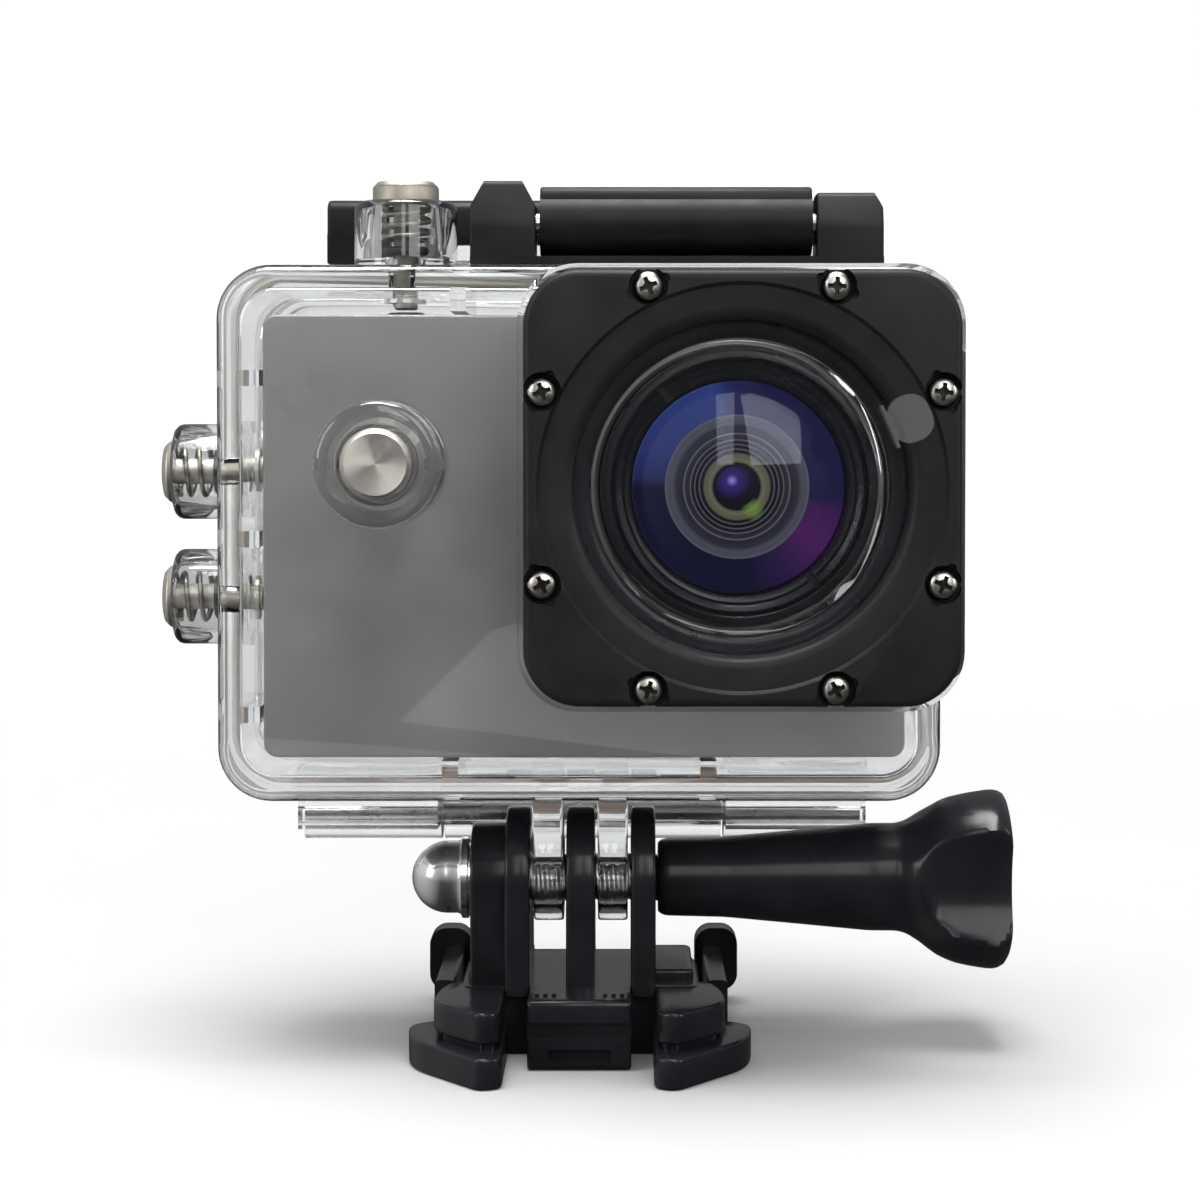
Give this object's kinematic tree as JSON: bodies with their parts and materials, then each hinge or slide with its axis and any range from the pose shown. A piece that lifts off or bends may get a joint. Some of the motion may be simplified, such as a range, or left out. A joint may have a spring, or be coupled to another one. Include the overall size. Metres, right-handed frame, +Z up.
{
  "type": "action camera in waterproof case",
  "caption": "Boxy camera in a clear sealed case with a square lens bezel, push buttons and a top latch, standing on a quick-release buckle with a thumbscrew pivot.",
  "frame": {"origin": "centre of the quick-release buckle's underside, below the pivot of the mounting fingers", "axes": "+Z up, -Y the way the lens looks, +X to the right for someone facing the lens, along the thumbscrew from its nut to its grip"},
  "size_m": [0.0815, 0.0446, 0.0835],
  "materials": {
    "clear_case": "clear polished polycarbonate",
    "window_clear": "clear flat window",
    "film": "thin translucent film",
    "buckle_black": "glossy black moulded plastic",
    "latch_black": "satin black moulded plastic",
    "bezel_black": "fine textured satin black",
    "lens_black": "dark satin lens housing",
    "face_grey": "satin grey metallic face",
    "camera_grey": "dark satin plastic",
    "key_black": "satin black plastic",
    "steel": "bright steel",
    "spring_steel": "spring steel",
    "chrome": "polished plated nut",
    "seal_black": "black rubber seal",
    "seal_pale": "pale silicone seal",
    "lens_glass": "coated lens glass",
    "screen_glass": "dark screen glass",
    "board_green": "circuit board",
    "battery_grey": "wrapped battery pack"
  },
  "bodies": {
    "buckle": {"buckle_base": "buckle_black", "acorn_nut": "chrome"},
    "arm_left": {"release_arm_left": "buckle_black"},
    "arm_right": {"release_arm_right": "buckle_black"},
    "bolt": {"thumbscrew_bolt": "steel"},
    "knob": {"thumbscrew_handle": "buckle_black"},
    "housing": {"front_shell": "clear_case", "door_hinge_pin": "steel", "lens_bezel": "bezel_black", "lens_window": "window_clear", "window_gasket": "seal_black", "window_film": "film", "latch_bracket": "latch_black", "latch_pin": "steel", "camera_body": "camera_grey", "camera_face_plate": "face_grey", "lens_barrel": "lens_black", "lens_retaining_ring": "lens_black", "front_lens": "lens_glass", "middle_lens": "lens_glass", "rear_lens": "lens_glass", "image_sensor": "key_black", "main_board": "board_green", "battery": "battery_grey", "battery_door": "camera_grey", "lcd_screen": "screen_glass", "bezel_screw_1": "steel", "bezel_screw_2": "steel", "bezel_screw_3": "steel", "bezel_screw_4": "steel", "bezel_screw_5": "steel", "bezel_screw_6": "steel", "bezel_screw_7": "steel", "bezel_screw_8": "steel", "mode_spring": "spring_steel", "mode_o_ring": "seal_black", "shutter_spring": "spring_steel", "shutter_o_ring": "seal_black", "up_spring": "spring_steel", "up_o_ring": "seal_black", "down_spring": "spring_steel", "down_o_ring": "seal_black"},
    "door": {"back_door": "clear_case", "door_gasket": "seal_pale"},
    "latch": {"latch_flap": "latch_black"},
    "mode_button": {"mode_plunger": "steel", "mode_clip": "steel"},
    "camera_mode_key": {"camera_mode_button": "key_black"},
    "shutter_button": {"shutter_plunger": "steel", "shutter_clip": "steel"},
    "camera_shutter_key": {"camera_shutter_button": "key_black"},
    "up_button": {"up_plunger": "steel", "up_clip": "steel"},
    "camera_up_key": {"camera_up_button": "key_black"},
    "down_button": {"down_plunger": "steel", "down_clip": "steel"},
    "camera_down_key": {"camera_down_button": "key_black"}
  },
  "joints": [
    {"name": "release_left", "type": "hinge", "parent": "buckle", "child": "arm_left", "pos_m": [-0.0133, 0, 0.0037], "axis": [0, 0, -1], "range_deg": [0, 4], "stiffness_Nm_per_rad": 0.5},
    {"name": "release_right", "type": "hinge", "parent": "buckle", "child": "arm_right", "pos_m": [0.0133, 0, 0.0037], "axis": [0, 0, 1], "range_deg": [0, 4], "stiffness_Nm_per_rad": 0.5},
    {"name": "thumbscrew_turn", "type": "hinge", "parent": "bolt", "child": "knob", "pos_m": [0, 0, 0.016], "axis": [1, 0, 0], "range_deg": [0, 720]},
    {"name": "thumbscrew_advance", "type": "slide", "parent": "buckle", "child": "bolt", "axis": [1, 0, 0], "range_m": [0, 0.0016]},
    {"name": "tilt", "type": "hinge", "parent": "buckle", "child": "housing", "pos_m": [0, 0, 0.016], "axis": [1, 0, 0], "range_deg": [-40, 60]},
    {"name": "latch_swing", "type": "hinge", "parent": "housing", "child": "latch", "pos_m": [0, -0.007, 0.079], "axis": [1, 0, 0], "range_deg": [0, 115]},
    {"name": "door_swing", "type": "hinge", "parent": "housing", "child": "door", "pos_m": [0, 0.0112, 0.0208], "axis": [-1, 0, 0], "range_deg": [0, 74.75]},
    {"name": "mode_press", "type": "slide", "parent": "housing", "child": "mode_button", "axis": [0, 1, 0], "range_m": [0, 0.0012], "stiffness_N_per_m": 400, "deforming": ["mode_spring"]},
    {"name": "camera_mode_press", "type": "slide", "parent": "housing", "child": "camera_mode_key", "axis": [0, 1, 0], "range_m": [0, 0.0012]},
    {"name": "shutter_press", "type": "slide", "parent": "housing", "child": "shutter_button", "axis": [0, 0, -1], "range_m": [0, 0.0015], "stiffness_N_per_m": 400, "deforming": ["shutter_spring"]},
    {"name": "camera_shutter_press", "type": "slide", "parent": "housing", "child": "camera_shutter_key", "axis": [0, 0, -1], "range_m": [0, 0.0015]},
    {"name": "up_press", "type": "slide", "parent": "housing", "child": "up_button", "axis": [1, 0, 0], "range_m": [0, 0.0012], "stiffness_N_per_m": 400, "deforming": ["up_spring"]},
    {"name": "camera_up_press", "type": "slide", "parent": "housing", "child": "camera_up_key", "axis": [1, 0, 0], "range_m": [0, 0.0012]},
    {"name": "down_press", "type": "slide", "parent": "housing", "child": "down_button", "axis": [1, 0, 0], "range_m": [0, 0.0012], "stiffness_N_per_m": 400, "deforming": ["down_spring"]},
    {"name": "camera_down_press", "type": "slide", "parent": "housing", "child": "camera_down_key", "axis": [1, 0, 0], "range_m": [0, 0.0012]}
  ],
  "couplings": [
    {"joint": "thumbscrew_turn", "follows": "thumbscrew_advance", "rad_per_m": 7853.9},
    {"joint": "door_swing", "follows": "latch_swing", "ratio": 0.65},
    {"joint": "camera_mode_press", "follows": "mode_press", "ratio": 1},
    {"joint": "camera_shutter_press", "follows": "shutter_press", "ratio": 1},
    {"joint": "camera_up_press", "follows": "up_press", "ratio": 1},
    {"joint": "camera_down_press", "follows": "down_press", "ratio": 1}
  ]
}
